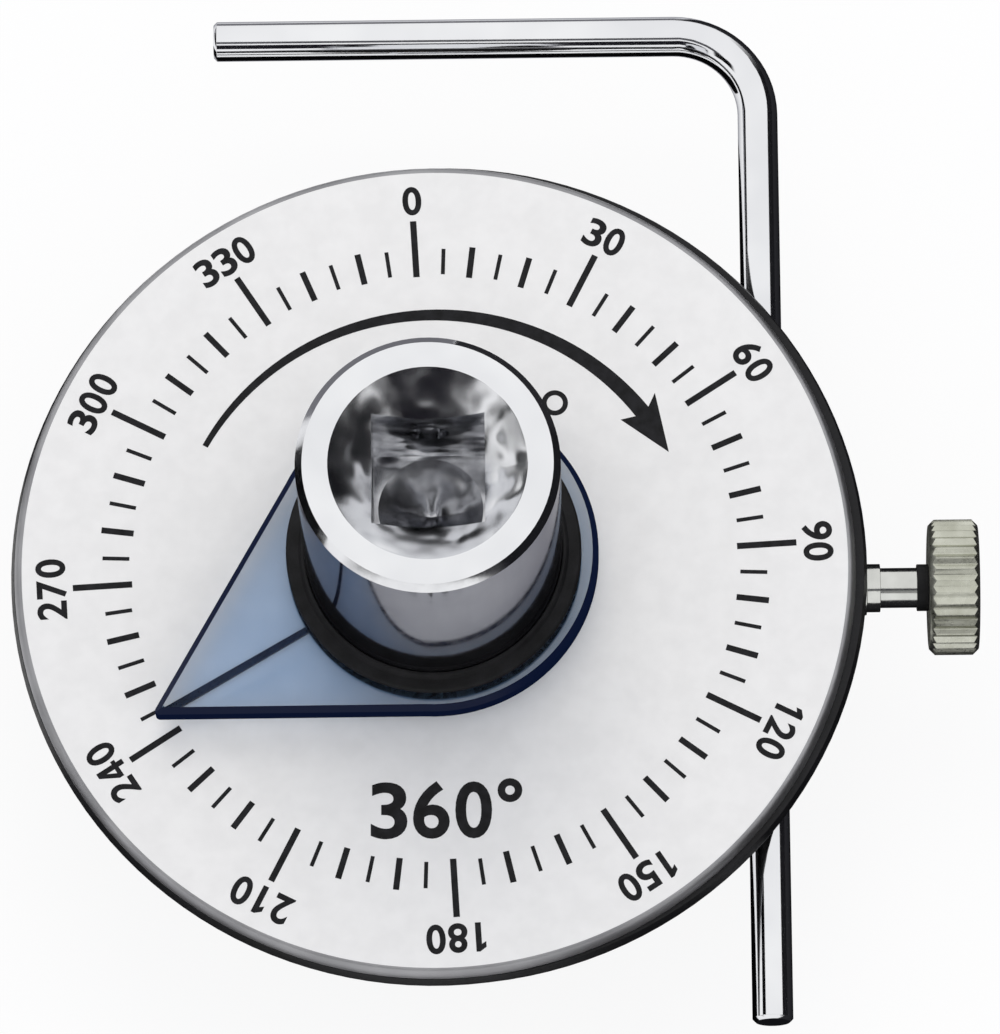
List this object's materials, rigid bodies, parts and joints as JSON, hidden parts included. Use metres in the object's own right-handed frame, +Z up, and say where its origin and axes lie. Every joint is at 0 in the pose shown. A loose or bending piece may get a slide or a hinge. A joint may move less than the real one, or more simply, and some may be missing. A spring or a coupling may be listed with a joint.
{
  "type": "torque angle gauge",
  "caption": "Torque angle gauge: round degree dial on a half-inch square drive spindle, with a friction-held clear pointer and a clamped L-shaped reaction rod.",
  "frame": {"origin": "centre of the end face of the male square, on the drive axis", "axes": "+Z up the drive axis to the female square, +Y along the reaction rod towards its arm, +X towards the thumb screw"},
  "size_m": [0.1134, 0.1235, 0.0731],
  "materials": {
    "printed_aluminium": "matt pale enamel with a printed degree scale, edge bare and turned",
    "black_moulding": "moulded black, half gloss",
    "chrome_plate": "polished chrome plate",
    "clear_acrylic": "clear blue-grey cast acrylic, polished",
    "black_rubber": "moulded black rubber",
    "bronze": "sintered bronze",
    "bright_steel": "bright zinc-plated steel",
    "spring_steel": "oiled dark spring steel",
    "nickel_plate": "satin nickel plate, slightly warm",
    "nylon": "natural nylon",
    "brass": "turned brass"
  },
  "bodies": {
    "dial": {"dial_body": "black_moulding", "dial_plate": "printed_aluminium", "upper_bush": "bronze", "lower_bush": "bronze", "rod_carrier": "black_moulding", "carrier_screws": "bright_steel", "clamp_insert": "nickel_plate"},
    "spindle": {"drive_spindle": "chrome_plate", "friction_washer": "nylon", "thrust_washer": "bright_steel", "disc_spring": "spring_steel", "retaining_ring": "spring_steel", "detent_spring": "spring_steel"},
    "pointer": {"pointer": "clear_acrylic", "pointer_grommet": "black_rubber"},
    "detent": {"detent_ball": "bright_steel"},
    "sleeve": {"rod_sleeve": "nylon"},
    "rod": {"reaction_rod": "chrome_plate"},
    "pad": {"clamp_pad": "brass"},
    "thumb_screw": {"clamp_screw": "nickel_plate", "clamp_knob": "nickel_plate", "knob_ring": "black_rubber"}
  },
  "joints": [
    {"name": "spindle_spin", "type": "hinge", "parent": "dial", "child": "spindle", "pos_m": [0, 0, 0.03105], "axis": [0, 0, 1], "continuous": true},
    {"name": "pointer_turn", "type": "hinge", "parent": "spindle", "child": "pointer", "pos_m": [0, 0, 0.0358], "axis": [0, 0, 1], "continuous": true},
    {"name": "detent_press", "type": "slide", "parent": "spindle", "child": "detent", "axis": [0, 1, 0], "range_m": [0, 0.0009], "stiffness_N_per_m": 2000, "springref_m": -0.001, "deforming": ["detent_spring"]},
    {"name": "rod_swivel", "type": "hinge", "parent": "dial", "child": "sleeve", "pos_m": [0.0388, 0, 0.02371], "axis": [0, 1, 0], "continuous": true},
    {"name": "rod_slide", "type": "slide", "parent": "sleeve", "child": "rod", "axis": [0, 1, 0], "range_m": [-0.012, 0.035]},
    {"name": "pad_slide", "type": "slide", "parent": "dial", "child": "pad", "axis": [1, 0, 0], "range_m": [0, 0.00243]},
    {"name": "screw_turn", "type": "hinge", "parent": "pad", "child": "thumb_screw", "pos_m": [0.058, -0.0013, 0.02371], "axis": [1, 0, 0], "range_deg": [0, 1085]}
  ],
  "couplings": [
    {"joint": "screw_turn", "follows": "pad_slide", "rad_per_m": 7757}
  ]
}
